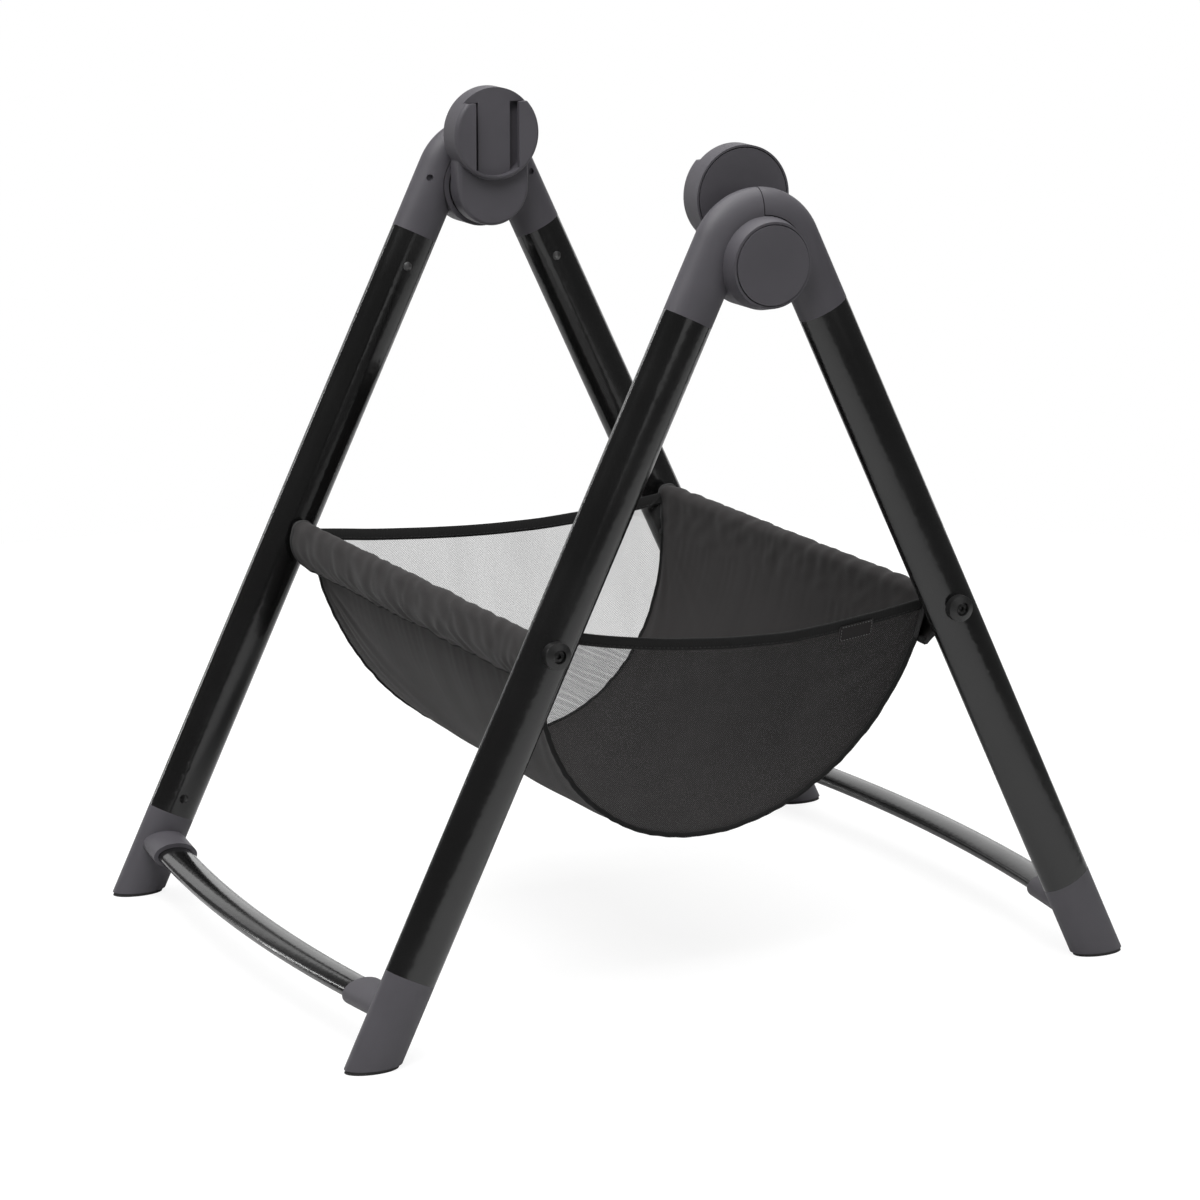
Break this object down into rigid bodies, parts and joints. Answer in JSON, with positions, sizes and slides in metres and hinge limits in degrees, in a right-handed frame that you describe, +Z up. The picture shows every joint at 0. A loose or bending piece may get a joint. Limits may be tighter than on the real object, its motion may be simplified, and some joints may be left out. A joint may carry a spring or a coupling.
{
  "type": "bassinet stand",
  "caption": "Folding A-frame stand with lockable hubs and adapters that hold a bassinet, bowed crossbars and a slung storage basket.",
  "frame": {"origin": "on the floor, under the middle of the stand", "axes": "+X along the hub axis, +Y towards the rear legs, +Z up"},
  "size_m": [0.584, 0.72, 0.706],
  "materials": {
    "tube": "gloss black powder-coated oval steel tube",
    "plastic": "fine-textured charcoal moulded nylon",
    "rubber": "matte black rubber",
    "steel": "zinc-plated steel",
    "gear": "glass-filled nylon gear",
    "cloth": "black woven polyester canvas",
    "mesh": "sheer black polyester mesh",
    "tag": "plain woven tag"
  },
  "bodies": {
    "front_frame": {"front_leg_left": "tube", "front_leg_right": "tube", "front_hub_left": "plastic", "front_hub_right": "plastic", "front_foot_left": "plastic", "front_foot_right": "plastic", "front_pad_left": "rubber", "front_pad_right": "rubber", "front_crossbar": "tube", "front_basket_rod": "tube", "front_rod_bolts": "steel", "front_rod_caps": "plastic", "front_hub_screws": "steel", "front_foot_screws": "steel", "basket_sling": "cloth", "basket_panel_left": "mesh", "basket_panel_right": "mesh", "basket_binding_left": "cloth", "basket_binding_right": "cloth", "basket_tag": "tag"},
    "rear_frame": {"rear_leg_left": "tube", "rear_leg_right": "tube", "rear_hub_left": "plastic", "rear_hub_right": "plastic", "rear_foot_left": "plastic", "rear_foot_right": "plastic", "rear_pad_left": "rubber", "rear_pad_right": "rubber", "rear_crossbar": "tube", "rear_basket_rod": "tube", "rear_rod_bolts": "steel", "rear_rod_caps": "plastic", "rear_hub_screws": "steel", "rear_foot_screws": "steel", "pivot_bolt_left": "steel", "pivot_bolt_right": "steel", "pivot_nut_left": "steel", "pivot_nut_right": "steel", "thrust_washer_left": "steel", "thrust_washer_right": "steel", "adapter_left": "plastic", "adapter_right": "plastic", "adapter_cover_left": "plastic", "adapter_cover_right": "plastic", "adapter_screws_left": "steel", "adapter_screws_right": "steel"},
    "lock_button_left": {"button_left": "plastic", "lock_gear_left": "gear", "lock_spring_left": "steel"},
    "lock_button_right": {"button_right": "plastic", "lock_gear_right": "gear", "lock_spring_right": "steel"}
  },
  "joints": [
    {"name": "fold", "type": "hinge", "parent": "front_frame", "child": "rear_frame", "pos_m": [0, 0, 0.617], "axis": [-1, 0, 0], "range_deg": [0, 50], "deforming": ["basket_sling", "basket_panel_left", "basket_panel_right", "basket_binding_left", "basket_binding_right", "basket_tag"]},
    {"name": "press_button_left", "type": "slide", "parent": "front_frame", "child": "lock_button_left", "axis": [1, 0, 0], "range_m": [0, 0.004], "stiffness_N_per_m": 900, "deforming": ["lock_spring_left"]},
    {"name": "press_button_right", "type": "slide", "parent": "front_frame", "child": "lock_button_right", "axis": [-1, 0, 0], "range_m": [0, 0.004], "stiffness_N_per_m": 900, "deforming": ["lock_spring_right"]}
  ]
}
